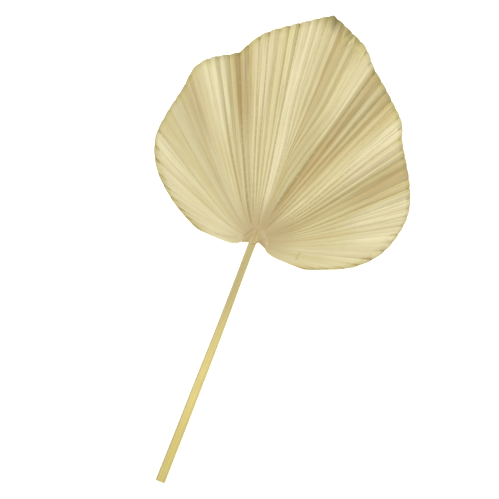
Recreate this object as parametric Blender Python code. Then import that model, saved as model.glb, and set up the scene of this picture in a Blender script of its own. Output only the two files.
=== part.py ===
"""Fan palm leaf, dried and trimmed to a spade outline, lying face up on a flat surface.

Units are metres and +Z is up. The origin is on the surface, straight below the hub where
the stalk meets the ribs. +Y runs along the leaf's axis from the hub to the tip of the
blade, and +X to the right of the leaf's face. An edge angle is the direction from the hub
to a point of the outline, in degrees from +Y, negative to the left and positive to the right.
"""

import math
import random

import bmesh
import bpy

MM = 0.001

# The cut outline, as (edge angle, distance from the hub in mm). The tip is its one corner.
OUTLINE_LEFT = (
    (-111, 61), (-100, 77), (-90, 97), (-80, 120), (-70, 138), (-60, 148), (-50, 160),
    (-43, 174.5), (-38, 178), (-28, 178.5), (-24, 187.5), (-20, 196), (-10, 210.5), (-2, 226),
)
OUTLINE_RIGHT = (
    (-2, 226), (4, 217.5), (9, 211), (14, 198), (18, 192.5), (25, 185), (32, 178), (37, 168),
    (43, 162.5), (52, 157.5), (62, 151), (70, 140.5), (80, 124.5), (90, 102.5), (100, 77),
    (111, 58.5),
)
TIP_ANGLE = -2
MARGIN_ANGLE = 111

# Broad folds of the fan, as (edge angle, height of the middle of the sheet at the edge in mm).
BROAD_FOLDS = (
    (-111, 12), (-95, 13), (-80, 12), (-64, 18), (-45, 8), (-36, 15), (-24.5, 2.03), (-2, 16),
    (7, 8.5), (13.5, 15), (24.5, 1.75), (37.5, 12), (50, 1.8), (75, 11), (95, 13), (111, 11.3),
)

# The small fold right of the tip starts only beyond the middle of the blade.
LATE_FOLDS = (7, 13.5)
LATE_FOLDS_FROM = (0.45, 0.8)

# Pleats: a ridge and a valley for each, as (edge angle, degrees from one ridge to the next).
PLEAT_PITCH = (
    (-111, 4.9), (-66, 4.8), (-50, 3.8), (-30, 3.4), (-14, 2.6), (0, 2.2), (8, 2.8), (25, 3.1),
    (45, 3.4), (70, 3.9), (90, 5.0), (111, 5.2),
)
PLEAT_DEPTH = 1.2 * MM
PLEAT_FADE = (80, 104)
PLEAT_LEAST = 0.2
PITCH_SPREAD = 0.24
DEPTH_SPREAD = 0.3
SEED = 7
CREASED_WITHIN = 70

# The ribs run straight from the edge and pass the hub at an offset that they lose at its rim.
RIB_OFFSET = 20 * MM
RIB_OFFSET_CENTRE = 6
RIB_OFFSET_CHANGE = (7, 49)
MARGIN_OFFSET_LEFT = 6 * MM
MARGIN_OFFSET_RIGHT = 2 * MM
MARGIN_OFFSET_CHANGE = (85, 111)
RIB_HOOK = 15 * MM
RIB_STRAIGHT_SHARE = 0.45
HUB_RIM = (11.5 * MM, 14 * MM)
HUB_RIM_CENTRE_Y = -14 * MM
HUB_RIM_TURN = 97 / 111
HUB_RIM_SLANT = 0.1
ROWS = (0, 0.05, 0.12, 0.22, 0.36, 0.52, 0.68, 0.84, 1)

SHEET = 1.1 * MM
DISH = 2.2 * MM
HUB_RISE = 0.8 * MM
GAP = 0.3 * MM

# Stalk sections, from the square cut end to the tip under the hub: y, middle, width, bottom and
# top in mm. A shallow groove runs along the top.
STALK_SECTIONS = (
    (-270.9, -0.7, 9.9, 0, 7.2), (-268, -0.7, 10.0, 0, 7.4), (-215, -0.5, 9.6, 0, 7.3),
    (-165, -0.5, 9.3, 0, 7.1), (-120, -0.4, 8.6, 0, 6.9), (-85, -0.6, 8.0, 0, 6.6),
    (-50, -1.0, 7.5, 0, 6.3), (-20, -1.3, 7.5, 0, 6.1), (-6, -0.7, 6.8, 0, 6.0),
    (4, -0.2, 5.2, 0, 5.7), (10, 0, 3.8, 1.6, 5.2), (15, 0, 2.0, 3.0, 4.6),
)
STALK_SIDES = 17
STALK_SQUARENESS = 0.82
STALK_GROOVE = 0.12
STALK_FLAT = 0.42
SMOOTH_UP_TO = math.radians(40)

BLADE_COLOUR = (0.73, 0.63, 0.38, 1)
STALK_COLOUR = (0.66, 0.54, 0.21, 1)
HUB_SEAT = 6.1 * MM


def smooth(low, high, value):
    """0 below low, 1 above high, with an eased change between them."""
    share = min(1, max(0, (value - low) / (high - low)))
    return share * share * (3 - 2 * share)


def curve_through(knots, place):
    """A smooth curve through (place, value) knots, read at one place."""
    index = 0
    while index < len(knots) - 2 and place > knots[index + 1][0]:
        index += 1
    (x0, y0), (x1, y1) = knots[index], knots[index + 1]
    before, after = knots[max(index - 1, 0)], knots[min(index + 2, len(knots) - 1)]
    slope0 = (y1 - before[1]) / (x1 - before[0])
    slope1 = (after[1] - y0) / (after[0] - x0)
    width = x1 - x0
    t = (place - x0) / width
    return (
        y0 * (1 + 2 * t) * (1 - t) ** 2
        + slope0 * width * t * (1 - t) ** 2
        + y1 * t * t * (3 - 2 * t)
        + slope1 * width * t * t * (t - 1)
    )


def edge_distance(angle):
    """Distance from the hub to the cut edge, in metres."""
    knots = OUTLINE_LEFT if angle < TIP_ANGLE else OUTLINE_RIGHT
    return curve_through(knots, angle) * MM


def height_on(folds, angle):
    """Height at an edge angle on (edge angle, height) folds: flat flanks and soft crests."""
    index = 0
    while index < len(folds) - 2 and angle > folds[index + 1][0]:
        index += 1
    (a0, z0), (a1, z1) = folds[index], folds[index + 1]
    share = (angle - a0) / (a1 - a0)
    eased = (share + smooth(0, 1, share)) / 2
    return (z0 + (z1 - z0) * eased) * MM


def broad_height(angle, run):
    """Height that the sheet would reach at the cut edge if the folds went on as they are here."""
    inner = height_on([fold for fold in BROAD_FOLDS if fold[0] not in LATE_FOLDS], angle)
    outer = height_on(BROAD_FOLDS, angle)
    return inner + (outer - inner) * smooth(*LATE_FOLDS_FROM, run)


def between(pairs, place):
    """Straight lines through (place, value) pairs, read at one place."""
    index = 0
    while index < len(pairs) - 2 and place > pairs[index + 1][0]:
        index += 1
    (x0, y0), (x1, y1) = pairs[index], pairs[index + 1]
    return y0 + (y1 - y0) * (place - x0) / (x1 - x0)


def on_broad_folds(angles):
    """The folds moved a little, so that every broad crest is a ridge and every trough a valley."""
    moves = [(-MARGIN_ANGLE, -MARGIN_ANGLE)]
    for before, fold, after in zip(BROAD_FOLDS, BROAD_FOLDS[1:], BROAD_FOLDS[2:]):
        crest = fold[1] > max(before[1], after[1])
        trough = fold[1] < min(before[1], after[1])
        if abs(fold[0]) < CREASED_WITHIN and (crest or trough):
            kind = angles[1::2] if crest else angles[0::2]
            moves.append((min(kind, key=lambda angle: abs(angle - fold[0])), fold[0]))
    moves.append((MARGIN_ANGLE, MARGIN_ANGLE))
    return [between(moves, angle) for angle in angles]


def fold_angles():
    """Edge angles of every pleat fold, valley and ridge in turn, from margin to margin."""
    draw = random.Random(SEED)
    angles = [-MARGIN_ANGLE]
    while angles[-1] < MARGIN_ANGLE:
        half = curve_through(PLEAT_PITCH, angles[-1]) / 2
        spread = PITCH_SPREAD * (1 - smooth(*PLEAT_FADE, abs(angles[-1])))
        angles.append(angles[-1] + half * (1 + spread * draw.uniform(-1, 1)))
    stretch = 2 * MARGIN_ANGLE / (angles[-1] + MARGIN_ANGLE)
    return on_broad_folds([-MARGIN_ANGLE + (angle + MARGIN_ANGLE) * stretch for angle in angles])


def fold_depths(angles):
    """Height of every fold above or below the middle of the sheet, at the cut edge."""
    draw = random.Random(SEED + 1)
    depths = []
    for index, angle in enumerate(angles):
        fade = 1 - (1 - PLEAT_LEAST) * smooth(*PLEAT_FADE, abs(angle))
        depth = PLEAT_DEPTH / 2 * fade * (1 + draw.uniform(-DEPTH_SPREAD, DEPTH_SPREAD))
        depths.append(depth if index % 2 else -depth)
    return depths


def on_circle(angle, radius):
    """The point at that distance from the hub, in the direction of an edge angle."""
    turn = math.radians(angle)
    return radius * math.sin(turn), radius * math.cos(turn)


def rib_point(angle, share):
    """Where a rib lies in plan, and how far along it that is: 0 at the hub's rim, 1 at the edge."""
    radius = edge_distance(angle)
    side = 1 if angle > RIB_OFFSET_CENTRE else -1
    at_margin = MARGIN_OFFSET_RIGHT if angle > 0 else MARGIN_OFFSET_LEFT
    offset = RIB_OFFSET * smooth(*RIB_OFFSET_CHANGE, abs(angle - RIB_OFFSET_CENTRE))
    offset += at_margin * smooth(*MARGIN_OFFSET_CHANGE, abs(angle))
    heading = angle - side * math.degrees(math.asin(offset / radius))
    end = on_circle(angle, radius)
    length = math.sqrt(radius**2 - offset**2)
    turn = math.radians(angle * HUB_RIM_TURN)
    aside = HUB_RIM[0] * math.sin(turn)
    start = (aside, HUB_RIM_CENTRE_Y + HUB_RIM[1] * math.cos(turn) + HUB_RIM_SLANT * aside)
    controls = [start]
    for reach in (length - RIB_HOOK, length * (1 - RIB_STRAIGHT_SHARE)):
        back = on_circle(heading, reach)
        controls.append((end[0] - back[0], end[1] - back[1]))
    controls.append(end)
    weights = (
        (1 - share) ** 3,
        3 * share * (1 - share) ** 2,
        3 * share**2 * (1 - share),
        share**3,
    )
    x = sum(weight * point[0] for weight, point in zip(weights, controls))
    y = sum(weight * point[1] for weight, point in zip(weights, controls))
    run = math.hypot(x - start[0], y - start[1]) / math.hypot(end[0] - start[0], end[1] - start[1])
    return x, y, run


def sheet_height(angle, run, fold):
    """Height of the middle of the sheet, at a share of the run from the hub's rim to the edge."""
    hub = HUB_SEAT + GAP + SHEET / 2
    dish = DISH * 6.75 * run * run * (1 - run)
    return hub + (broad_height(angle, run) - hub) * run - dish + fold * run


def new_object(name, bm, colour, roughness, collection):
    """An object of that name from a bmesh, with one plain material."""
    bmesh.ops.recalc_face_normals(bm, faces=bm.faces)
    mesh = bpy.data.meshes.new(name)
    bm.to_mesh(mesh)
    bm.free()
    material = bpy.data.materials.new(name)
    material.use_nodes = True
    shader = material.node_tree.nodes["Principled BSDF"]
    shader.inputs["Base Color"].default_value = colour
    shader.inputs["Roughness"].default_value = roughness
    shader.inputs["Metallic"].default_value = 0
    mesh.materials.append(material)
    obj = bpy.data.objects.new(name, mesh)
    collection.objects.link(obj)
    return obj


def make_blade(collection):
    """The pleated fan: one sheet, the same triangles above and below, closed over the stalk's tip."""
    angles = fold_angles()
    depths = fold_depths(angles)
    bm = bmesh.new()
    bmesh.ops.create_grid(bm, x_segments=len(angles) - 1, y_segments=len(ROWS) - 1, size=0.5)
    rim = [None] * len(angles)
    for vert in bm.verts:
        column = round((vert.co.x + 0.5) * (len(angles) - 1))
        row = round((vert.co.y + 0.5) * (len(ROWS) - 1))
        if row == 0:
            rim[column] = vert
        x, y, run = rib_point(angles[column], ROWS[row])
        vert.co = (x, y, sheet_height(angles[column], run, depths[column]))
    cap = bm.faces.new(rim)
    poked = bmesh.ops.poke(bm, faces=[cap])
    for vert in poked["verts"]:
        vert.co.z += HUB_RISE
    bmesh.ops.triangulate(bm, faces=bm.faces, quad_method="FIXED")
    below = bmesh.ops.extrude_face_region(bm, geom=bm.faces[:])
    moved = [item for item in below["geom"] if isinstance(item, bmesh.types.BMVert)]
    for vert in bm.verts:
        vert.co.z += SHEET / 2
    bmesh.ops.translate(bm, verts=moved, vec=(0, 0, -SHEET))
    return new_object("leaf_blade", bm, BLADE_COLOUR, 0.75, collection)


def rounded(value):
    """A sine or cosine pushed outwards, so that the section is a little squarer than an ellipse."""
    return math.copysign(abs(value) ** STALK_SQUARENESS, value)


def stalk_ring(section):
    """Points round one section of the stalk: a narrow flat below and a groove in the top."""
    y, middle, width, bottom, top = (value * MM for value in section)
    step = 2 * math.pi / STALK_SIDES
    lowest = rounded(-math.cos(step / 2))
    highest = rounded(math.cos(step))
    points = []
    for index in range(STALK_SIDES):
        turn = step * (index + 0.5) - math.pi / 2
        across = rounded(math.cos(turn))
        rise = (rounded(math.sin(turn)) - lowest) / (highest - lowest)
        if index in (0, STALK_SIDES - 1):
            across = math.copysign(STALK_FLAT, across)
        if index == STALK_SIDES // 2:
            rise = 1 - STALK_GROOVE
        points.append((middle + width / 2 * across, y, bottom + (top - bottom) * rise))
    return points


def make_stalk(collection):
    """The stalk: one section pulled from the cut end to the tip that the blade closes over."""
    bm = bmesh.new()
    bmesh.ops.create_circle(bm, cap_ends=True, segments=STALK_SIDES, radius=1)
    verts, edges = bm.verts[:], bm.edges[:]
    for section in STALK_SECTIONS:
        if section is not STALK_SECTIONS[0]:
            pulled = bmesh.ops.extrude_edge_only(bm, edges=edges)["geom"]
            verts = [item for item in pulled if isinstance(item, bmesh.types.BMVert)]
            ring = set(verts)
            edges = [edge for edge in bm.edges if set(edge.verts) <= ring]
        for vert, point in zip(verts, stalk_ring(section)):
            vert.co = point
    bmesh.ops.edgeloop_fill(bm, edges=edges)
    bmesh.ops.triangulate(bm, faces=bm.faces)
    stalk = new_object("leaf_stalk", bm, STALK_COLOUR, 0.5, collection)
    stalk.data.shade_smooth()
    stalk.data.set_sharp_from_angle(angle=SMOOTH_UP_TO)
    return stalk


def main():
    for obj in list(bpy.data.objects):
        bpy.data.objects.remove(obj)
    leaf = bpy.data.collections.new("fan_palm_leaf")
    bpy.context.scene.collection.children.link(leaf)
    make_blade(leaf)
    make_stalk(leaf)


main()
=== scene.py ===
"""Looks of a dried fan palm leaf lying face up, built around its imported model.

The leaf's axis is +Y, from the hub to the tip, and +Z is out of its face. Lengths are in
metres, and a fold's edge angle is its direction from the hub at the cut edge, in degrees
from +Y, negative to the left and positive to the right, as in the model's own source.
"""

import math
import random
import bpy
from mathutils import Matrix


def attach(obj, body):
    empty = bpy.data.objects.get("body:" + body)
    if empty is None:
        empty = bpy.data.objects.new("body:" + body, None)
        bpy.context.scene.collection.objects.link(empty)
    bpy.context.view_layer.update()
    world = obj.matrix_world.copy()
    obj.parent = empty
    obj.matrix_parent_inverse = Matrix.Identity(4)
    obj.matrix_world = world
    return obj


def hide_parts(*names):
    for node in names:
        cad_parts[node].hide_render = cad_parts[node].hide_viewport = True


bl_info = {
    "name": "Dried fan palm leaf",
    "version": (1, 0, 0),
    "blender": (4, 5, 0),
    "location": "3D View > Sidebar > Palm leaf",
    "description": "Builds a pleated, trimmed and dried fan palm leaf with its stalk",
    "category": "Object",
}

from collections import namedtuple

import bmesh
import bpy
from mathutils import noise, Vector

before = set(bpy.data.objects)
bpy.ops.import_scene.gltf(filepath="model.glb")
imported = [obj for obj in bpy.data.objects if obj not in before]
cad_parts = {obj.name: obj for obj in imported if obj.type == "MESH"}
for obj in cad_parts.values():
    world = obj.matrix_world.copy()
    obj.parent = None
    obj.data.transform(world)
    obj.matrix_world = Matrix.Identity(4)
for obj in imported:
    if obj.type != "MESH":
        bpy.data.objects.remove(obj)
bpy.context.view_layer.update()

MM = 0.001

# A fold of the blade: its edge angle, its height above the middle of the sheet at the edge, how
# plain a line it draws (partly painted shade in a valley, partly a painted highlight on a ridge),
# and how pale or dull the flank on its right is, from 1 to -1.
Fold = namedtuple("Fold", ("angle", "height", "line", "tone"))

# The cut outline, as (edge angle, distance from the hub in mm). The tip is its one corner.
OUTLINE_LEFT = (
    (-111, 61), (-100, 77), (-90, 97), (-80, 120), (-70, 138), (-60, 148), (-50, 160),
    (-43, 174.5), (-38, 178), (-28, 178.5), (-24, 187.5), (-20, 196), (-10, 210.5), (-2, 226),
)
OUTLINE_RIGHT = (
    (-2, 226), (4, 217.5), (9, 211), (14, 198), (18, 192.5), (25, 185), (32, 178), (37, 168),
    (43, 162.5), (52, 157.5), (62, 151), (70, 140.5), (80, 124.5), (90, 102.5), (100, 77),
    (111, 58.5),
)
TIP_ANGLE = -2
MARGIN_ANGLE = 111

# Broad folds of the fan, as (edge angle, height of the middle of the sheet at the edge in mm).
BROAD_FOLDS = (
    (-111, 12), (-95, 13), (-80, 12), (-64, 18), (-45, 8), (-36, 15), (-24.5, 2.03), (-2, 16),
    (7, 8.5), (13.5, 15), (24.5, 1.75), (37.5, 12), (50, 1.8), (75, 11), (95, 13), (111, 11.3),
)

# The small fold right of the tip starts only beyond the middle of the blade.
LATE_FOLDS = (7, 13.5)
LATE_FOLDS_FROM = (0.45, 0.8)

# Pleats: a ridge and a valley for each, as (edge angle, degrees from one ridge to the next).
PLEAT_PITCH = (
    (-111, 4.9), (-66, 4.8), (-50, 3.8), (-30, 3.4), (-14, 2.6), (0, 2.2), (8, 2.8), (25, 3.1),
    (45, 3.4), (70, 3.9), (90, 5.0), (111, 5.2),
)
PLEAT_FADE = (80, 104)
PLEAT_LEAST = 0.2
PITCH_SPREAD = 0.24
DEPTH_SPREAD = 0.3
SEED = 7
CREASED_WITHIN = 70

# The ribs run straight from the edge and pass the hub at an offset that they lose at its rim.
RIB_OFFSET = 20 * MM
RIB_OFFSET_CENTRE = 6
RIB_OFFSET_CHANGE = (7, 49)
MARGIN_OFFSET_LEFT = 6 * MM
MARGIN_OFFSET_RIGHT = 2 * MM
MARGIN_OFFSET_CHANGE = (85, 111)
RIB_HOOK = 15 * MM
RIB_STRAIGHT_SHARE = 0.45
HUB_RIM = (11.5 * MM, 14 * MM)
HUB_RIM_CENTRE_Y = -14 * MM
HUB_RIM_TURN = 97 / 111
HUB_RIM_SLANT = 0.1
HUB_HEIGHT = 6.95 * MM
# The ribs sag this far between the hub and the edge; the second value makes their curve's peak 1.
DISH = 2.2 * MM
DISH_PEAK = 27 / 4
# The middle of the sheet is pressed flat rather than go lower than this.
LOWEST = 0.4 * MM

# Where the ribs of each edge angle lie at and below the middle of their length: a few crowd
# together under the tip, and leave a broad smooth flank to their right.
RIB_DRIFT = (
    (-111, -111), (-10, -9.5), (-5, -2.5), (2, -0.5), (8, 1), (13, 8.5), (16, 17), (22, 22.5),
    (31, 34), (42, 42.5), (111, 111),
)

# The lower edge of the hub's web, in plan in mm, from lobe to lobe across the stalk.
WEB_EDGE = (
    (-11.5, -17.9), (-4.8, -15.4), (-1, -15.8), (2.4, -14.2), (4.3, -12.4), (7.5, -13.4),
    (11.5, -15.5),
)

# The thinnest that the web is from its edge to the hub's rim, in plan, and how far it bulges
# over the stalk.
WEB_LEAST = 0.3 * MM
WEB_BULGE = 0.5 * MM

# Valleys whose dark line, partly painted shade, is sharp at the hub, and those where it is sharp
# all along, as edge angles, and the degrees within which a valley counts as one of them.
HUB_VALLEYS = (-28, -20, -10, -3, 16.5, 24.5, 31)
DEEP_VALLEYS = (-27, 15.8, 48.5)
SAME_VALLEY = 1.2

# Unevenness: how far a rib wanders to either side in degrees, by what share the pleats' heights
# vary along them, how high the sheet swells, how round the crests are, and the shares of its
# distance by which a ridge stands out and a valley falls back at the cut edge.
RIB_WANDER = 0.45
PLEAT_VARIES = 0.45
SWELL = 0.25 * MM
CREST_ROUND = 0.2
SCALLOP_OUT = 0.001
SCALLOP_BACK = 0.004

# The lobes, as edge angles to either side: where pleats are lower and where their lines fade.
LOBE_LOWER = (62, 100)
LOBE_FADES = (60, 85)
# The share of their height that pleats have on a lobe, within it and at its edge.
LOBE_PLEATS = (0.25, 1.5)
# Right of the tip one flank is smooth, and further right the ridges are pale beside the hub, partly
# bleached and partly a painted highlight, as (edge angle, degrees to either side).
SMOOTH_FLANK = (9, 5)
PALE_RIDGES = (33, 8)

# How plainly the pleats show, in height, line and tone, as (edge angle, share).
PLEATS_SHOW = (
    (-111, 0.8), (-88, 0.9), (-76, 1.25), (-68, 0.9), (-60, 0.35), (-50, 0.6), (-40, 0.75),
    (-31, 1.4), (-26, 1.0), (-23, 1.0), (-20, 1.8), (-13, 1.9), (-7, 0.9), (4, 0.8), (20, 1.0),
    (32, 1.15), (47, 1.0), (55, 1.2), (68, 0.8), (85, 1.0), (100, 0.4), (111, 0.4),
)

# How much of the leaf is tan, as (edge angle, share): partly the tan of flanks that were folded
# tight, partly painted shade on troughs and shaded flanks; below 0 it is paler, painted light.
TAN_AND_SHADE_SECTORS = (
    (-111, 0.25), (-103, 0.3), (-97, 0.1), (-82, 0.05), (-72, -0.15), (-64, 0.36), (-59, 0.2),
    (-54.5, 0.08), (-49, 0.7), (-43, 0.6), (-39, -0.16), (-31.5, 0.25), (-28, 1.15), (-24, 0.95),
    (-20, -0.2), (-12, 0.5), (-9, -0.05), (-4, 0.05), (1, 0.6), (7, 0.32), (13, -0.02), (16, 0.88),
    (20, 0.3), (25, 0.7), (29, 0.42), (32, -0.1), (37, -0.3), (42, 0.3), (47, 0.92), (51, 0.65),
    (56, 0.0), (62, -0.4), (66, 0.2), (70, -0.1), (82, 0.05), (92, 0.28), (98, 0.12), (106, 0.6),
    (111, 0.6),
)
# What that is more nearer the hub, painted shade and light included.
TAN_AND_SHADE_NEAR_HUB = (
    (-111, -0.4), (-100, -0.1), (-86, 0.05), (-80, -0.12), (-75, 0.5), (-70, 0.18), (-65, -0.1),
    (-60, 0.18), (-50, 0.12), (-45, -0.75), (-40, 0.45), (-33, 0.47), (-28, -0.85), (-24, -0.35),
    (-20, 0.42), (-12, -0.05), (-1, -0.12), (4, -0.05), (11, 0.38), (15, 0.4), (21, 0.35),
    (27, -0.3), (32, 0.5), (36, 0.7), (40, 0.36), (47, -0.35), (52, 0.0), (58, 0.62), (66, 0.48),
    (72, 0.45), (84, 0.13), (96, 0.1), (104, -0.4), (111, -0.6),
)

# Where the blade is greyer than the rest, and below 0 browner, as (edge angle, share): partly
# weathered skin, partly a painted tint of the shade on flanks turned from the light.
GREYED_AND_SHADE_TINT = (
    (-111, 0.0), (-62, 0.0), (-53, 0.9), (-44, 1.1), (-36, 0.0), (-29, 0.0), (-25, 0.9), (-20, 0.1),
    (-14, 0.3), (-8, -0.2), (2, -0.2), (10, 0.1), (28, 0.0), (36, -0.4), (40, -0.9), (47, 0.0),
    (111, 0.0),
)

# Single creases with painted shade down them, pale lips with a painted highlight, a pocket with a
# painted shadow and a yellow patch that is partly a painted highlight, most of them round the hub,
# as (what it is, how strong, half width in mm, height in mm, places in plan in mm that it passes).
MARKS = (
    ("valley", 0.35, 1.2, -0.4, ((-11.2, -11.4), (-7.6, -5.6), (-4.4, -1.2))),
    ("valley", 0.25, 1.3, -0.35, ((-0.2, -0.8), (-0.4, -9.6), (-1.4, -14.6))),
    ("valley", 0.2, 1.8, -0.3, ((-5.8, -15.6), (-4.6, -10.5), (-3.8, -7))),
    ("valley", 0.3, 1.0, -0.1, ((-4.6, -14.9), (-9.6, -16.8))),
    ("pocket_shadow", 0.5, 1.6, -0.5, ((6.2, -10.4), (8.4, -12.8), (11.6, -15.2))),
    ("valley", 0.3, 0.9, -0.2, ((-18, -15.9), (-28, -18.3), (-38.7, -19.5))),
    ("valley", 0.4, 1.1, -0.5, ((48.1, -6.6), (45.9, -9.3), (46.2, -12), (46, -14.2))),
    ("bleached", 0.3, 1.6, 0.6, ((4.8, -1.9), (10.1, -5), (12.4, -7.7), (13.3, -10.4))),
    ("bleached", 0.5, 1.0, 0.4, ((49.6, -8), (48.4, -10.2), (48.9, -12.2))),
    ("yellow_and_highlit", 0.6, 1.8, 0.2, ((1.7, -8.4), (2.1, -12))),
)

# The stalk: y, middle, width, bottom and top of its sections in mm, from the cut end to its nose.
STALK_SECTIONS = (
    (-270.9, -0.7, 9.9, 0, 7.2), (-268, -0.7, 10.0, 0, 7.4), (-215, -0.5, 9.6, 0, 7.3),
    (-165, -0.5, 9.3, 0, 7.1), (-120, -0.4, 8.6, 0, 6.9), (-85, -0.6, 8.0, 0, 6.6),
    (-50, -1.0, 7.5, 0, 6.4), (-20, -1.3, 7.5, 0, 6.6), (-12, -1.0, 6.9, 0, 6.9),
    (-5, -0.5, 5.0, 0, 6.7), (0, 0, 2.6, 0.6, 6.2), (4, 0, 0.8, 2, 5.4),
)
STALK_STEP = 2
STALK_RADIUS = 4.2

# How square the stalk's section is across and up (1 is round), and how uneven it is.
STALK_SQUARE = (0.82, 0.45)
STALK_UNEVEN = 0.014
GROOVE_HALF_WIDTH = 0.9 * MM
# The rings that close the sawn end, as shares of its size, and how uneven the saw left it.
CUT_RINGS = (0.2, 0.4, 0.6, 0.8, 0.97)
CUT_ROUGHNESS = 0.12 * MM

# Half widths in mm of the dark line down in a valley, partly painted shade, and of the pale line on
# a ridge, partly a painted highlight.
VALLEY_LINE = 0.6
RIDGE_LINE = 0.5

# Between which shares of a rib's length, from the hub, something comes in or goes.
TONES_COME = (0.1, 0.5)
VEINS_COME = (0.25, 0.6)
HUB_LINES_GO = (0.15, 0.5)
PALE_RIDGES_GO = (0.3, 0.7)
NEAR_HUB_GOES = (0.4, 0.8)

# How far in from the cut edge its marks reach in mm: whole up to the first, none from the second.
EDGE_GREEN = (1, 12)
EDGE_STROKES = (4, 15)
BARE_CUT = (0, 2.5)
TIP_GREEN = (3, 24)
TIP_DARK = (1, 17)

# The browned hub: its middle in mm to the right, and from where to where in mm it fades.
BROWNED_MIDDLE = 5
BROWNED = (6, 44)

# What each point of the blade keeps for its material, beside its place on the leaf.
BLADE_READINGS = (
    "tan_and_shade_share", "greyed_and_shade_tint", "warmed_and_shade_tint", "pale", "dull", "veined", "valley", "bleached", "yellow_and_highlit",
    "pocket_shadow", "cut_edge", "stroked", "bare_cut", "browned", "tip", "very_tip",
)

# Edges of the blade's rim that are steeper than this stay sharp.
SHARP_ABOVE = math.radians(50)

# The photograph's frame: the hub's pixel, the leaf's lean to the right and the scale.
PHOTO_SIDE = 499
HUB_PIXEL = (259.0, 229.5)
LEAN = math.radians(21.3)
PIXEL = 1.0 * MM


def smooth(low, high, value):
    """0 at low and before it, 1 at high and beyond, with an eased change between them."""
    share = min(1, max(0, (value - low) / (high - low)))
    return share * share * (3 - 2 * share)


def mix(first, second, share):
    return first + (second - first) * share


def bell(offset, width):
    """1 in the middle, falling softly to nothing about twice the width away."""
    return math.exp(-((offset / width) ** 2))


def rough(*place):
    """Smooth noise from about -1 to 1 at a place of up to three numbers."""
    return noise.noise(Vector((*place, 0, 0)[:3]))


def linear(hex_colour, alpha=1):
    """An sRGB hex colour, such as #D9CB9C, as linear red, green, blue and alpha."""
    values = []
    for start in (1, 3, 5):
        value = int(hex_colour[start:start + 2], 16) / 255
        values.append(value / 12.92 if value <= 0.04045 else ((value + 0.055) / 1.055) ** 2.4)
    return (*values, alpha)


def curve_through(knots, place):
    """A smooth curve through (place, value) knots, read at one place."""
    index = 0
    while index < len(knots) - 2 and place > knots[index + 1][0]:
        index += 1
    (x0, y0), (x1, y1) = knots[index], knots[index + 1]
    before, after = knots[max(index - 1, 0)], knots[min(index + 2, len(knots) - 1)]
    slope0 = (y1 - before[1]) / (x1 - before[0])
    slope1 = (after[1] - y0) / (after[0] - x0)
    width = x1 - x0
    t = (place - x0) / width
    return (
        y0 * (1 + 2 * t) * (1 - t) ** 2
        + slope0 * width * t * (1 - t) ** 2
        + y1 * t * t * (3 - 2 * t)
        + slope1 * width * t * t * (t - 1)
    )


def between(pairs, place):
    """Straight lines through (place, value) pairs, read at one place."""
    index = 0
    while index < len(pairs) - 2 and place > pairs[index + 1][0]:
        index += 1
    (x0, y0), (x1, y1) = pairs[index], pairs[index + 1]
    return y0 + (y1 - y0) * (place - x0) / (x1 - x0)


def edge_distance(angle):
    """Distance from the hub to the cut edge, in metres."""
    knots = OUTLINE_LEFT if angle < TIP_ANGLE else OUTLINE_RIGHT
    return curve_through(knots, angle) * MM


def height_on(folds, angle):
    """Height at an edge angle on (edge angle, height) folds: flat flanks and soft crests."""
    index = 0
    while index < len(folds) - 2 and angle > folds[index + 1][0]:
        index += 1
    (a0, z0), (a1, z1) = folds[index], folds[index + 1]
    share = (angle - a0) / (a1 - a0)
    eased = (share + smooth(0, 1, share)) / 2
    return (z0 + (z1 - z0) * eased) * MM


def broad_height(angle, run):
    """Height that the sheet would reach at the cut edge if the folds went on as they are here."""
    inner = height_on([fold for fold in BROAD_FOLDS if fold[0] not in LATE_FOLDS], angle)
    return mix(inner, height_on(BROAD_FOLDS, angle), smooth(*LATE_FOLDS_FROM, run))


def on_broad_folds(angles):
    """The folds moved a little, so that every broad crest is a ridge and every trough a valley."""
    moves = [(-MARGIN_ANGLE, -MARGIN_ANGLE)]
    for before, fold, after in zip(BROAD_FOLDS, BROAD_FOLDS[1:], BROAD_FOLDS[2:]):
        crest = fold[1] > max(before[1], after[1])
        trough = fold[1] < min(before[1], after[1])
        if abs(fold[0]) < CREASED_WITHIN and (crest or trough):
            kind = angles[1::2] if crest else angles[0::2]
            moves.append((min(kind, key=lambda angle: abs(angle - fold[0])), fold[0]))
    moves.append((MARGIN_ANGLE, MARGIN_ANGLE))
    return [between(moves, angle) for angle in angles]


def fold_angles():
    """Edge angles of every pleat fold, valley and ridge in turn, from margin to margin."""
    draw = random.Random(SEED)
    angles = [-MARGIN_ANGLE]
    while angles[-1] < MARGIN_ANGLE:
        half = curve_through(PLEAT_PITCH, angles[-1]) / 2
        spread = PITCH_SPREAD * (1 - smooth(*PLEAT_FADE, abs(angles[-1])))
        angles.append(angles[-1] + half * (1 + spread * draw.uniform(-1, 1)))
    stretch = 2 * MARGIN_ANGLE / (angles[-1] + MARGIN_ANGLE)
    return on_broad_folds([-MARGIN_ANGLE + (angle + MARGIN_ANGLE) * stretch for angle in angles])


def fold_depths(angles, depth):
    """Height of every fold above or below the middle of the sheet, at the cut edge."""
    draw = random.Random(SEED + 1)
    depths = []
    for index, angle in enumerate(angles):
        fade = 1 - (1 - PLEAT_LEAST) * smooth(*PLEAT_FADE, abs(angle))
        height = depth / 2 * fade * (1 + draw.uniform(-DEPTH_SPREAD, DEPTH_SPREAD))
        depths.append(height if index % 2 else -height)
    return depths


def on_circle(angle, radius):
    """The point at that distance from the hub, in the direction of an edge angle."""
    turn = math.radians(angle)
    return radius * math.sin(turn), radius * math.cos(turn)


def on_rim(turn):
    """The point of the hub's rim, an arch over the stalk's end, at a turn from its top in radians."""
    aside = HUB_RIM[0] * math.sin(turn)
    return aside, HUB_RIM_CENTRE_Y + HUB_RIM[1] * math.cos(turn) + HUB_RIM_SLANT * aside


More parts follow.
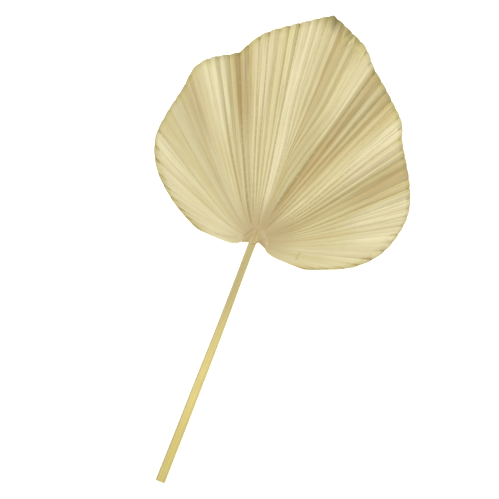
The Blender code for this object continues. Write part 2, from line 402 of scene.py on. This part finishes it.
def rib_controls(angle):
    """The four control points of a rib in plan, from the hub's rim to the cut edge."""
    radius = edge_distance(angle)
    side = 1 if angle > RIB_OFFSET_CENTRE else -1
    at_margin = MARGIN_OFFSET_RIGHT if angle > 0 else MARGIN_OFFSET_LEFT
    offset = RIB_OFFSET * smooth(*RIB_OFFSET_CHANGE, abs(angle - RIB_OFFSET_CENTRE))
    offset += at_margin * smooth(*MARGIN_OFFSET_CHANGE, abs(angle))
    heading = angle - side * math.degrees(math.asin(offset / radius))
    end = on_circle(angle, radius)
    length = math.sqrt(radius**2 - offset**2)
    controls = [on_rim(math.radians(angle * HUB_RIM_TURN))]
    for reach in (length - RIB_HOOK, length * (1 - RIB_STRAIGHT_SHARE)):
        back = on_circle(heading, reach)
        controls.append((end[0] - back[0], end[1] - back[1]))
    controls.append(end)
    return controls


def rib_point(controls, share):
    """Where a rib lies in plan, and how far along it that is: 0 at the hub's rim, 1 at the edge."""
    weights = (
        (1 - share) ** 3,
        3 * share * (1 - share) ** 2,
        3 * share**2 * (1 - share),
        share**3,
    )
    x = sum(weight * point[0] for weight, point in zip(weights, controls))
    y = sum(weight * point[1] for weight, point in zip(weights, controls))
    start, end = controls[0], controls[-1]
    run = math.hypot(x - start[0], y - start[1]) / math.hypot(end[0] - start[0], end[1] - start[1])
    return x, y, run


def drifted(angle, share):
    """The edge angle of the place that a rib has at a share of its length."""
    return mix(angle, between(RIB_DRIFT, angle), smooth(0.8, 0.4, share))


def pleat_strength(angle, run):
    """How far the pleats stand out: less on the lobes but for their edge, and on one flank."""
    lobe = smooth(*LOBE_LOWER, abs(angle))
    on_lobe = mix(*LOBE_PLEATS, smooth(0.84, 1, run))
    aside = smooth(35, 60, abs(angle)) * (1 - smooth(0.15, 0.5, run))
    flank = bell(angle - SMOOTH_FLANK[0], SMOOTH_FLANK[1]) * (1 - smooth(0.35, 0.6, run))
    shows = between(PLEATS_SHOW, angle)
    return shows * mix(1, on_lobe, lobe) * (1 - 0.7 * aside) * (1 - 0.8 * flank)


def from_line(x, y, points):
    """Distance of a place in plan from a line through points."""
    nearest = math.inf
    for (x0, y0), (x1, y1) in zip(points, points[1:]):
        run_x, run_y = x1 - x0, y1 - y0
        along = ((x - x0) * run_x + (y - y0) * run_y) / (run_x**2 + run_y**2)
        along = min(1, max(0, along))
        nearest = min(nearest, math.hypot(x - x0 - along * run_x, y - y0 - along * run_y))
    return nearest


def new_object(name, bm, materials):
    """An object of that name from a bmesh, smooth shaded, with those materials."""
    bmesh.ops.recalc_face_normals(bm, faces=bm.faces)
    mesh = bpy.data.meshes.new(name)
    bm.to_mesh(mesh)
    bm.free()
    mesh.shade_smooth()
    for material in materials:
        mesh.materials.append(material)
    obj = bpy.data.objects.new(name, mesh)
    bpy.context.scene.collection.objects.link(obj)
    return obj


def store(obj, name, values):
    """Keeps a number, or a place of three numbers, for each point, for the material to read."""
    if isinstance(values[0], tuple):
        attribute = obj.data.attributes.new(name, "FLOAT_VECTOR", "POINT")
        attribute.data.foreach_set("vector", [number for place in values for number in place])
    else:
        attribute = obj.data.attributes.new(name, "FLOAT", "POINT")
        attribute.data.foreach_set("value", values)


def add_node(tree, kind, sockets=None, stops=None, **settings):
    """Adds a node with its settings; a socket takes a value or the output that feeds it."""
    made = tree.nodes.new(kind)
    for name, value in settings.items():
        setattr(made, name, value)
    for name, value in (sockets or {}).items():
        if isinstance(value, bpy.types.NodeSocket):
            tree.links.new(value, made.inputs[name])
        else:
            made.inputs[name].default_value = value
    if stops:
        ramp = made.color_ramp
        while len(ramp.elements) < len(stops):
            ramp.elements.new(1)
        for element, (position, colour) in zip(ramp.elements, stops):
            element.position = position
            element.color = linear(colour) if isinstance(colour, str) else colour
    return made


def new_material(name):
    """A material of that name, its node tree and its surface shader."""
    material = bpy.data.materials.new(name)
    material.use_nodes = True
    tree = material.node_tree
    return material, tree, tree.nodes["Principled BSDF"]


def layered(tree, colour, layers):
    """The colour with layers over it in turn: what their amount is multiplied from, and a colour."""
    for amounts, over in layers:
        amount = amounts[0]
        for factor in amounts[1:]:
            amount = add_node(
                tree, "ShaderNodeMath", {0: amount, 1: factor}, operation="MULTIPLY",
            ).outputs[0]
        colour = add_node(
            tree, "ShaderNodeMix", {0: amount, 6: colour, 7: linear(over)}, data_type="RGBA",
        ).outputs[2]
    return colour


def patches(tree, place, scale, low, high, detail=2.0):
    """Noise over a place, stretched by the scale, from 0 where it is below low to 1 above high."""
    stretched = add_node(tree, "ShaderNodeMapping", {"Vector": place, "Scale": scale}).outputs[0]
    cloud = add_node(
        tree, "ShaderNodeTexNoise", {"Vector": stretched, "Scale": 1.0, "Detail": detail},
    )
    return add_node(
        tree, "ShaderNodeMapRange",
        {"Value": cloud.outputs["Fac"], "From Min": low, "From Max": high},
        interpolation_type="SMOOTHSTEP",
    ).outputs[0]


def blade_material(settings):
    """Palm leaf, sun-dried: a dry, matt, fibrous skin with no gloss, straw coloured all through, with
    painted shade and painted highlights laid into its colour.

    "leaf_place" is the leaflet's number and the distance from the hub in mm, so that what it
    feeds runs along the ribs and narrows with them.
    """
    material, tree, surface = new_material("Palm leaf, sun-dried")
    place = add_node(tree, "ShaderNodeAttribute", attribute_name="leaf_place").outputs["Vector"]
    read = {
        name: add_node(tree, "ShaderNodeAttribute", attribute_name=name).outputs["Fac"]
        for name in BLADE_READINGS
    }
    # The tan and painted shade of each sector reach into their neighbours in long streaks.
    uneven = patches(tree, place, (0.8, 0.012, 1), 0.2, 0.8)
    tanned_and_shaded = add_node(
        tree, "ShaderNodeMath", {0: uneven, 1: 0.25, 2: read["tan_and_shade_share"]}, operation="MULTIPLY_ADD",
    ).outputs[0]
    # Straw, paler where painted light lifts a sector, and tan where the skin is tan or painted shade
    # darkens it.
    ground = add_node(
        tree, "ShaderNodeValToRGB", {"Fac": tanned_and_shaded},
        stops=(
            (0.0, settings.bleached), (0.12, settings.straw), (0.42, "#D9CD99"),
            (0.82, settings.tan), (1.0, "#C2A76E"),
        ),
    ).outputs["Color"]
    colour = layered(tree, ground, (
        # Greyer and browner stretches: partly weathering, partly a painted tint of shade.
        ((read["greyed_and_shade_tint"], 0.35), "#C9BF9D"),
        ((read["warmed_and_shade_tint"], 0.35), "#D1B377"),
        # Each leaflet's two flanks dried a little lighter or darker than their neighbours.
        ((read["pale"], 0.3), "#EEE5B9"),
        ((read["dull"], 0.28), "#C6B47E"),
        # Stretches of leaflets that kept a trace of green.
        ((patches(tree, place, (0.5, 0.008, 7), 0.45, 0.72), 0.14), "#D0CA90"),
        # Veins along each flank, 2 to 4 mm apart, some dark and some bleached.
        ((patches(tree, place, (4.4, 0.012, 2), 0.56, 0.66, 0), read["veined"], 0.3), "#A8965C"),
        ((patches(tree, place, (3.6, 0.01, 6), 0.58, 0.7, 0), read["veined"], 0.25), "#F2EAC6"),
        # Fibres, drawn about 0.5 mm apart: finer ones than the real ones would not show.
        ((patches(tree, place, (11, 0.05, 1), 0.5, 0.75), 0.2), "#B9AA76"),
        ((patches(tree, place, (8, 0.03, 5), 0.5, 0.75), 0.2), "#EEE6C0"),
        # Green that was left in the cut margin, and the grey of the bare cut.
        ((patches(tree, place, (0.7, 0.05, 3), 0.4, 0.6), read["cut_edge"], 0.55), "#D0C672"),
        ((patches(tree, place, (1.2, 0.09, 6), 0.5, 0.58), read["stroked"], 0.3), "#A8995C"),
        ((read["bare_cut"], 0.45), "#A99C70"),
        # The hub is browner than the rest.
        ((read["browned"], 0.88), "#C1AB7D"),
        # Yellow over the stalk's end: partly its own colour, partly a painted highlight.
        ((read["yellow_and_highlit"], 0.7), "#D6C97E"),
        # Painted shadow in the pocket under the lip right of the stalk's end.
        ((read["pocket_shadow"],), "#A58F72"),
        # Ridges rubbed and bleached pale, with a painted highlight along them, in stretches.
        ((patches(tree, place, (1, 0.03, 4), 0.35, 0.65), read["bleached"]), "#F0E8C2"),
        # Down in the folds a dark line in dashes: partly skin that stayed olive brown, partly painted
        # shade in the crease.
        ((patches(tree, place, (2, 0.3, 9), 0.2, 0.55), read["valley"]), "#A3925C"),
        # Mould and green at the tip, which was the last to dry.
        ((patches(tree, place, (3, 0.06, 1), 0.5, 0.62, 0), read["tip"], 0.2), "#CFC466"),
        ((patches(tree, place, (6, 0.1, 4), 0.5, 0.6, 0), read["tip"], 0.45), "#7D7240"),
        ((read["very_tip"], 0.85), "#7D7243"),
    ))
    tree.links.new(colour, surface.inputs["Base Color"])
    surface.inputs["Roughness"].default_value = 0.72
    surface.inputs["Specular IOR Level"].default_value = 0.3
    fibres = patches(tree, place, (16, 0.08, 1), 0.2, 0.8, detail=4.0)
    bump = add_node(
        tree, "ShaderNodeBump", {"Height": fibres, "Strength": 0.5, "Distance": 0.15 * MM},
    )
    tree.links.new(bump.outputs[0], surface.inputs["Normal"])
    return material


def stalk_material(settings):
    """Palm stalk, sun-dried: a hard, slightly waxy skin over fibres, so it has a soft sheen.

    "stalk_place" is the way round the stalk in mm, from its top, and the way along it in mm.
    """
    material, tree, surface = new_material("Palm stalk, sun-dried")
    place = add_node(tree, "ShaderNodeAttribute", attribute_name="stalk_place").outputs["Vector"]
    read = {
        name: add_node(tree, "ShaderNodeAttribute", attribute_name=name).outputs["Fac"]
        for name in ("up_stalk", "left", "right", "groove")
    }
    ground = add_node(
        tree, "ShaderNodeValToRGB", {"Fac": read["up_stalk"]},
        stops=(
            (0.0, "#D6C671"), (0.19, "#DFCC76"), (0.37, "#EEDA88"), (0.56, "#E0CD80"),
            (0.74, "#C4B477"), (0.89, "#BFB074"), (1.0, "#BCAC73"),
        ),
    ).outputs["Color"]
    colour = layered(tree, ground, (
        # Painted shade down the stalk's left side and painted light on its right.
        ((read["left"], 0.8), "#B0A37E"),
        ((read["right"], 0.5), "#E8DA92"),
        # Fibres under the skin, about 0.6 mm apart and drawn out along the stalk.
        ((patches(tree, place, (1.6, 0.03, 1), 0.5, 0.8), 0.25), "#B0A05C"),
        ((patches(tree, place, (1.2, 0.02, 5), 0.5, 0.8), 0.3), "#EADFA6"),
        ((patches(tree, place, (0.1, 0.02, 3), 0.5, 0.7), 0.35), "#CBB67A"),
        # Painted shade down the groove along the stalk's top.
        ((read["groove"], 0.6), "#B9A965"),
    ))
    tree.links.new(colour, surface.inputs["Base Color"])
    surface.inputs["Roughness"].default_value = 0.5
    surface.inputs["Specular IOR Level"].default_value = 0.4
    fibres = patches(tree, place, (3.2, 0.05, 1), 0.2, 0.8, detail=3.0)
    bump = add_node(
        tree, "ShaderNodeBump", {"Height": fibres, "Strength": 0.6, "Distance": 0.15 * MM},
    )
    tree.links.new(bump.outputs[0], surface.inputs["Normal"])
    return material


def cut_material():
    """Palm stalk, sawn across: dull pith with the darker ends of its fibres, 0.7 mm apart."""
    material, tree, surface = new_material("Palm stalk, sawn across")
    place = add_node(tree, "ShaderNodeTexCoord").outputs["Object"]
    ends = add_node(tree, "ShaderNodeTexVoronoi", {"Vector": place, "Scale": 1 / (0.7 * MM)})
    colour = add_node(
        tree, "ShaderNodeValToRGB", {"Fac": ends.outputs["Distance"]},
        stops=((0.0, "#8E7446"), (0.24, "#9C8352"), (0.36, "#D3C08E"), (1.0, "#DBCB9C")),
    )
    tree.links.new(colour.outputs["Color"], surface.inputs["Base Color"])
    bump = add_node(
        tree, "ShaderNodeBump",
        {"Height": ends.outputs["Distance"], "Strength": 0.7, "Distance": 0.2 * MM},
    )
    tree.links.new(bump.outputs[0], surface.inputs["Normal"])
    surface.inputs["Roughness"].default_value = 0.85
    surface.inputs["Specular IOR Level"].default_value = 0.2
    return material


def table_material(settings):
    """Acrylic, opal cast: a shooting table lit from below too, so that no shadow shows on it."""
    material, tree, surface = new_material("Acrylic, opal cast")
    surface.inputs["Base Color"].default_value = linear("#F7F7F7")
    surface.inputs["Roughness"].default_value = 0.6
    surface.inputs["Specular IOR Level"].default_value = 0.0
    surface.inputs["Emission Color"].default_value = (1, 1, 1, 1)
    surface.inputs["Emission Strength"].default_value = settings.table_glow
    return material


class PALM_PG_blade(bpy.types.PropertyGroup):
    """Sizes and colours of the pleated blade."""

    sheet: bpy.props.FloatProperty(
        name="Sheet", description="Thickness of the dried blade", default=0.6 * MM,
        unit="LENGTH", subtype="DISTANCE",
    )
    pleat_depth: bpy.props.FloatProperty(
        name="Pleat depth", description="Height from valley to ridge at the cut edge",
        default=1.45 * MM, unit="LENGTH", subtype="DISTANCE",
    )
    steps: bpy.props.IntProperty(
        name="Steps", description="Strips of mesh from one fold to the next", default=5, min=2,
    )
    rows: bpy.props.IntProperty(
        name="Rows", description="Rows of mesh from the hub to the cut edge", default=56, min=8,
    )
    web_rows: bpy.props.IntProperty(
        name="Web rows", description="Rows of mesh in the web over the stalk's end", default=14,
        min=2,
    )
    # Also the colour of the painted light that makes some sectors paler.
    bleached: bpy.props.FloatVectorProperty(
        name="Bleached", description="Colour where the sun bleached the blade most", size=4,
        subtype="COLOR", default=linear("#EBE1B6"),
    )
    straw: bpy.props.FloatVectorProperty(
        name="Straw", description="Colour of most of the blade", size=4, subtype="COLOR",
        default=linear("#E3D8AE"),
    )
    # Also the colour of the painted shade on troughs and shaded flanks.
    tan: bpy.props.FloatVectorProperty(
        name="Tan", description="Colour of the flanks that were folded tight", size=4,
        subtype="COLOR", default=linear("#CBB57C"),
    )


class PALM_PG_stalk(bpy.types.PropertyGroup):
    """Sizes of the stalk."""

    sides: bpy.props.IntProperty(
        name="Sides", description="Sides of the stalk's section", default=64, min=12,
    )
    groove_depth: bpy.props.FloatProperty(
        name="Groove depth", description="Depth of the groove along the stalk's top",
        default=0.25 * MM, unit="LENGTH", subtype="DISTANCE",
    )


class PALM_PG_stage(bpy.types.PropertyGroup):
    """Camera, table and light."""

    distance: bpy.props.FloatProperty(
        name="Camera distance", description="Height of the camera above the leaf", default=3.0,
        unit="LENGTH", subtype="DISTANCE",
    )
    table_side: bpy.props.FloatProperty(
        name="Table side", description="Length of each side of the table", default=12.0,
        unit="LENGTH", subtype="DISTANCE",
    )
    table_glow: bpy.props.FloatProperty(
        name="Table glow", description="Light that comes up through the table", default=0.75,
    )
    lamp_power: bpy.props.FloatProperty(
        name="Lamp power", description="Power of the soft light", default=43.3, unit="POWER",
    )
    lamp_size: bpy.props.FloatProperty(
        name="Lamp size", description="Width of the soft light", default=1.2, unit="LENGTH",
        subtype="DISTANCE",
    )
    lamp_distance: bpy.props.FloatProperty(
        name="Lamp distance", description="Distance of the soft light from the hub", default=2.5,
        unit="LENGTH", subtype="DISTANCE",
    )
    lamp_azimuth: bpy.props.FloatProperty(
        name="Lamp azimuth", description="Direction of the soft light, from the leaf's +Y to its right",
        default=math.radians(-66), subtype="ANGLE",
    )
    lamp_elevation: bpy.props.FloatProperty(
        name="Lamp elevation", description="Height of the soft light above the table",
        default=math.radians(63), subtype="ANGLE",
    )
    surroundings: bpy.props.FloatProperty(
        name="Surroundings", description="Brightness of the white room", default=0.42,
    )


class PALM_OT_blade(bpy.types.Operator):
    """Build the pleated blade"""

    bl_idname = "palm.blade"
    bl_label = "Blade"

    def execute(self, context):
        settings = context.scene.palm_blade
        angles = fold_angles()
        folds = self.folds(angles, fold_depths(angles, settings.pleat_depth))
        steps, rows, web_rows = settings.steps, settings.rows, settings.web_rows
        columns = (len(angles) - 1) * steps
        bm = bmesh.new()
        bmesh.ops.create_grid(bm, x_segments=columns, y_segments=rows + web_rows, size=0.5)
        readings = []
        for vert in bm.verts:
            column = round((vert.co.x + 0.5) * columns)
            row = round((vert.co.y + 0.5) * (rows + web_rows)) - web_rows
            read = self.across(folds, column, steps)
            if row < 0:
                place = self.web_point(1 + row / web_rows, read)
            else:
                place = self.sheet_point((row / rows) ** 1.2, read)
            self.marks(place, read)
            vert.co = place
            readings.append(read)
        blade = new_object("leaf_blade_sheet", bm, [blade_material(settings)])
        for name in ("leaf_place", *BLADE_READINGS):
            store(blade, name, [read[name] for read in readings])
        self.thicken(context, blade, settings.sheet)
        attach(blade, "root")
        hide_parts("leaf_blade")
        return {"FINISHED"}

    def thicken(self, context, blade, sheet):
        """Gives the sheet its thickness, with a rim that stays square under smooth shading."""
        solid = blade.modifiers.new("Sheet", "SOLIDIFY")
        solid.thickness = sheet
        solid.offset = 0
        made = blade.evaluated_get(context.evaluated_depsgraph_get())
        mesh = bpy.data.meshes.new_from_object(made)
        blade.modifiers.clear()
        blade.data = mesh
        mesh.set_sharp_from_angle(angle=SHARP_ABOVE)

    def folds(self, angles, depths):
        """Every fold, with how plain its line is and its right flank's tone drawn for it."""
        draw = random.Random(SEED + 2)
        return [
            Fold(angle, depth, draw.uniform(0.15, 0.6), draw.uniform(-1, 1))
            for angle, depth in zip(angles, depths)
        ]

    def across(self, folds, column, steps):
        """What a column of the sheet has by where it lies between two folds."""
        index = min(column // steps, len(folds) - 2)
        share = column / steps - index
        first, second = folds[index], folds[index + 1]
        valley, ridge = (first, second) if first.height < second.height else (second, first)
        up = share if valley is first else 1 - share
        tone = first.tone
        if share in (0, 1):
            tone = (first.tone + folds[max(index - 1, 0)].tone) / 2
        return {
            "number": column / steps,
            "angle": mix(first.angle, second.angle, share),
            "height": mix(valley.height, ridge.height, mix(up, 1 - (1 - up) ** 2, CREST_ROUND)),
            "up": up,
            "span": math.radians(second.angle - first.angle),
            "line": valley.line,
            "crest": ridge.line,
            "to_hub": max(bell(valley.angle - angle, SAME_VALLEY) for angle in HUB_VALLEYS),
            "deep": max(bell(valley.angle - angle, SAME_VALLEY) for angle in DEEP_VALLEYS),
            "pale": max(0, tone),
            "dull": max(0, -tone),
        }

    def sheet_point(self, share, read):
        """The place of a point on the pleated sheet, at a share of its rib; fills in its reading."""
        number = read["number"]
        free = 4 * share * (1 - share) if abs(read["angle"]) < MARGIN_ANGLE else 0
        wander = RIB_WANDER * free * rough(number * 0.45, share * 3.5)
        angle = drifted(read["angle"], share) + wander
        x, y, run = rib_point(rib_controls(angle), share)
        stands_out = SCALLOP_OUT - SCALLOP_BACK * (1 - read["up"]) ** 3
        scallop = 1 + stands_out * smooth(0.8, 1, run)
        x, y = x * scallop, y * scallop
        strength = pleat_strength(angle, run) * (1 + PLEAT_VARIES * rough(number * 0.8, share * 4, 3))
        z = mix(HUB_HEIGHT, broad_height(angle, run), run)
        z -= DISH * DISH_PEAK * run * run * (1 - run)
        z += read["height"] * run * strength
        z += SWELL * rough(x * 70, y * 70, 5) * smooth(0, 0.3, run)
        reach = math.hypot(x, y) / MM
        inset = edge_distance(angle) / MM * (1 - run)
        read["leaf_place"] = (number / 2, reach, 0)
        read["browned"] = 1 - smooth(*BROWNED, math.hypot(x / MM - BROWNED_MIDDLE, y / MM))
        self.lines(angle, run, reach, inset, read)
        self.tones(angle, run, inset, read)
        return Vector((x, y, max(z, LOWEST)))

    def lines(self, angle, run, reach, inset, read):
        """Fills in how plain the lines are in valleys, partly painted shade, and on ridges, partly
        painted highlight, and how flanks differ.
        """
        up, to_hub, deep = read["up"], read["to_hub"], read["deep"]
        lobe = smooth(*LOBE_FADES, abs(angle))
        plain = between(PLEATS_SHOW, angle) * (1 - 0.7 * lobe * (1 - smooth(0.5, 0.9, run)))
        starts = mix(0.05, 0.0, to_hub)
        started = smooth(starts, starts + mix(0.2, 0.03, to_hub), run)
        at_hub = to_hub * (1 - smooth(*HUB_LINES_GO, run))
        at_edge = 1 - smooth(1, mix(6, 18, lobe), inset)
        line = max(read["line"] * plain, 0.65 * at_hub, deep) * started
        line = line * (1 + 1.1 * at_edge) + 0.5 * at_edge * lobe
        across = read["span"] * reach
        read["valley"] = bell(up * across, VALLEY_LINE * (1 + at_edge + 0.5 * deep)) * line
        # A pale line on each ridge: bleached skin and a painted highlight.
        pale = 0.5 * bell(angle - PALE_RIDGES[0], PALE_RIDGES[1]) * (1 - smooth(*PALE_RIDGES_GO, run))
        shown = max(0.5 * read["crest"] * plain, pale) * started
        read["bleached"] = bell((1 - up) * across, RIDGE_LINE) * shown
        read["pale"] *= smooth(*TONES_COME, run) * plain
        read["dull"] *= smooth(*TONES_COME, run) * plain
        read["veined"] = smooth(*VEINS_COME, run) * (1 - 0.8 * lobe) * min(1, plain)

    def tones(self, angle, run, inset, read):
        """Fills in how tan, grey, green or dark the skin is there, with the painted shade and light of
        each sector and the painted tint of its shade.
        """
        near = 1 - smooth(*NEAR_HUB_GOES, run)
        # Tan of the skin together with painted shade and light, by sector.
        read["tan_and_shade_share"] = between(TAN_AND_SHADE_SECTORS, angle) + near * between(TAN_AND_SHADE_NEAR_HUB, angle)
        # Painted tint of shade, with the weathered grey and brown.
        greyed_and_shade_tint = between(GREYED_AND_SHADE_TINT, angle)
        read["greyed_and_shade_tint"], read["warmed_and_shade_tint"] = max(0, greyed_and_shade_tint), max(0, -greyed_and_shade_tint)
        read["cut_edge"] = 1 - smooth(*EDGE_GREEN, inset)
        read["stroked"] = (1 - smooth(*EDGE_STROKES, inset)) * smooth(58, 80, abs(angle))
        read["bare_cut"] = 1 - smooth(*BARE_CUT, inset)
        read["yellow_and_highlit"] = read["pocket_shadow"] = 0
        read["tip"] = bell(angle - 3.5, 6) * (1 - smooth(*TIP_GREEN, inset))
        read["very_tip"] = bell(angle + 1.2, 2.2) * (1 - smooth(*TIP_DARK, inset))

    def web_point(self, share, read):
        """The place of a point on the web that closes the hub, from its lower edge to the rim."""
        x, top = on_rim(math.radians(read["angle"] * HUB_RIM_TURN))
        y = mix(min(between(WEB_EDGE, x / MM) * MM, top - WEB_LEAST), top, share)
        read.update(dict.fromkeys(BLADE_READINGS, 0))
        read["leaf_place"] = (x / MM * 0.5, y / MM, 0)
        read["tan_and_shade_share"] = 0.5
        read["browned"] = 0.95
        # The yellow over the stalk's nose is partly a painted highlight.
        over_stalk = bell(x / MM + 1 - 0.1 * y / MM, 3) * smooth(-7, -15, y / MM)
        read["yellow_and_highlit"] = 0.6 * over_stalk
        bulge = WEB_BULGE * math.exp(-(((x / MM + 0.6) / 3.2) ** 4)) * smooth(1, -7, y / MM)
        return Vector((x, y, HUB_HEIGHT + bulge))

    def marks(self, place, read):
        """Lays the single marks over a point."""
        for kind, strength, half_width, height, points in MARKS:
            near = bell(from_line(place.x / MM, place.y / MM, points), half_width)
            place.z += height * near * MM
            read[kind] = max(read[kind], strength * near)


class PALM_OT_stalk(bpy.types.Operator):
    """Build the stalk"""

    bl_idname = "palm.stalk"
    bl_label = "Stalk"

    def execute(self, context):
        settings = context.scene.palm_stalk
        first, last = STALK_SECTIONS[0][0], STALK_SECTIONS[-1][0]
        stations = [first + step * STALK_STEP for step in range(int((last - first) / STALK_STEP) + 1)]
        bm = bmesh.new()
        read = {name: [] for name in ("stalk_place", "up_stalk", "left", "right", "groove")}
        cut = [self.ring(bm, first, share, settings, read) for share in CUT_RINGS]
        skin = [self.ring(bm, station, 1, settings, read) for station in stations]
        self.close(bm, cut, skin)
        stalk = new_object("leaf_stalk_skin", bm, [stalk_material(settings), cut_material()])
        for name, values in read.items():
            store(stalk, name, values)
        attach(stalk, "root")
        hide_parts("leaf_stalk")
        return {"FINISHED"}

    def ring(self, bm, station, share, settings, read):
        """A new ring of points round the stalk there, or on its sawn end if the share is below 1."""
        middle, width, bottom, top = (
            curve_through([(section[0], section[part]) for section in STALK_SECTIONS], station) * MM
            for part in range(1, 5)
        )
        verts = []
        for index in range(settings.sides):
            turn = 2 * math.pi * index / settings.sides
            across = math.copysign(abs(math.cos(turn)) ** STALK_SQUARE[0], math.cos(turn))
            up = math.copysign(abs(math.sin(turn)) ** STALK_SQUARE[1], math.sin(turn))
            groove = bell(across * width / 2, GROOVE_HALF_WIDTH) * (up > 0)
            ribbed = 1 + STALK_UNEVEN * rough(math.cos(turn) * 5, math.sin(turn) * 5, station * 0.01)
            x = width / 2 * across * ribbed
            z = (top - bottom) / 2 * up * ribbed - groove * settings.groove_depth
            height = max(0, (bottom + top) / 2 + z * share)
            sawn = CUT_ROUGHNESS * rough(index * 0.9, share * 9, 2) * (share < 1)
            verts.append(bm.verts.new((middle + x * share, station * MM + sawn, height)))
            around = math.remainder(turn - math.pi / 2, 2 * math.pi) * STALK_RADIUS
            read["stalk_place"].append((around, station, 0))
            read["up_stalk"].append(1 - station / STALK_SECTIONS[0][0])
            # Where the material paints shade on the stalk's left side and light on its right.
            read["left"].append(smooth(0.35, 0.85, -across))
            read["right"].append(smooth(0.2, 0.9, across))
            # Painted shade in the groove.
            read["groove"].append(groove * 0.2 * share)
        return verts

    def close(self, bm, cut, skin):
        """Joins the rings with faces and closes both ends; the sawn end has its own material."""
        rings = [*cut, *skin]
        for before, after in zip(rings, rings[1:]):
            for index in range(len(before)):
                corners = (before[index - 1], before[index], after[index], after[index - 1])
                bm.faces.new(corners).material_index = int(before in cut)
        bm.faces.new(cut[0]).material_index = 1
        bm.faces.new(skin[-1])
        for edge in {edge for vert in skin[0] for edge in vert.link_edges}:
            edge.smooth = all(face.material_index == 0 for face in edge.link_faces)


class PALM_OT_stage(bpy.types.Operator):
    """Set up the table, the light and the camera"""

    bl_idname = "palm.stage"
    bl_label = "Stage"

    def execute(self, context):
        settings = context.scene.palm_stage
        bpy.ops.mesh.primitive_plane_add(size=settings.table_side)
        table = context.object
        table.name = "table"
        table.data.materials.append(table_material(settings))
        self.light(context, settings)
        self.camera(context, settings)
        return {"FINISHED"}

    def light(self, context, settings):
        world = bpy.data.worlds.new("White room")
        world.use_nodes = True
        background = world.node_tree.nodes["Background"]
        background.inputs["Color"].default_value = (1, 1, 1, 1)
        background.inputs["Strength"].default_value = settings.surroundings
        context.scene.world = world
        lamp = bpy.data.lights.new("Soft light", "AREA")
        lamp.shape = "DISK"
        lamp.size = settings.lamp_size
        lamp.energy = settings.lamp_power
        obj = bpy.data.objects.new("Soft light", lamp)
        azimuth, elevation = settings.lamp_azimuth, settings.lamp_elevation
        direction = Vector((
            math.sin(azimuth) * math.cos(elevation),
            math.cos(azimuth) * math.cos(elevation),
            math.sin(elevation),
        ))
        obj.location = direction * settings.lamp_distance
        obj.rotation_euler = direction.to_track_quat("Z", "Y").to_euler()
        context.scene.collection.objects.link(obj)

    def camera(self, context, settings):
        across = (PHOTO_SIDE / 2 - HUB_PIXEL[0]) * PIXEL
        down = (PHOTO_SIDE / 2 - HUB_PIXEL[1]) * PIXEL
        lens = bpy.data.cameras.new("Camera")
        lens.sensor_width = 36
        lens.lens = lens.sensor_width * settings.distance / (PHOTO_SIDE * PIXEL)
        camera = bpy.data.objects.new("Camera", lens)
        camera.location = (
            across * math.cos(LEAN) + down * math.sin(LEAN),
            across * math.sin(LEAN) - down * math.cos(LEAN),
            settings.distance + HUB_HEIGHT,
        )
        camera.rotation_euler = (0, 0, LEAN)
        context.scene.collection.objects.link(camera)
        context.scene.camera = camera


class PALM_PT_leaf(bpy.types.Panel):
    """Lists the leaf's pieces and their settings"""

    bl_idname = "PALM_PT_leaf"
    bl_label = "Palm leaf"
    bl_space_type = "VIEW_3D"
    bl_region_type = "UI"
    bl_category = "Palm leaf"

    def draw(self, context):
        for name, kind in GROUPS.items():
            column = self.layout.column()
            for setting in kind.__annotations__:
                column.prop(getattr(context.scene, name), setting)
        for operator in OPERATORS:
            self.layout.operator(operator.bl_idname)


GROUPS = {"palm_blade": PALM_PG_blade, "palm_stalk": PALM_PG_stalk, "palm_stage": PALM_PG_stage}
OPERATORS = (PALM_OT_blade, PALM_OT_stalk, PALM_OT_stage)


def register():
    for kind in (*GROUPS.values(), *OPERATORS, PALM_PT_leaf):
        bpy.utils.register_class(kind)
    for name, kind in GROUPS.items():
        setattr(bpy.types.Scene, name, bpy.props.PointerProperty(type=kind))


def unregister():
    for name in GROUPS:
        delattr(bpy.types.Scene, name)
    for kind in (PALM_PT_leaf, *OPERATORS, *GROUPS.values()):
        bpy.utils.unregister_class(kind)


def main():
    register()
    bpy.context.scene.view_settings.view_transform = "Standard"
    bpy.ops.palm.blade()
    bpy.ops.palm.stalk()
    bpy.ops.palm.stage()


if __name__ == "__main__":
    main()
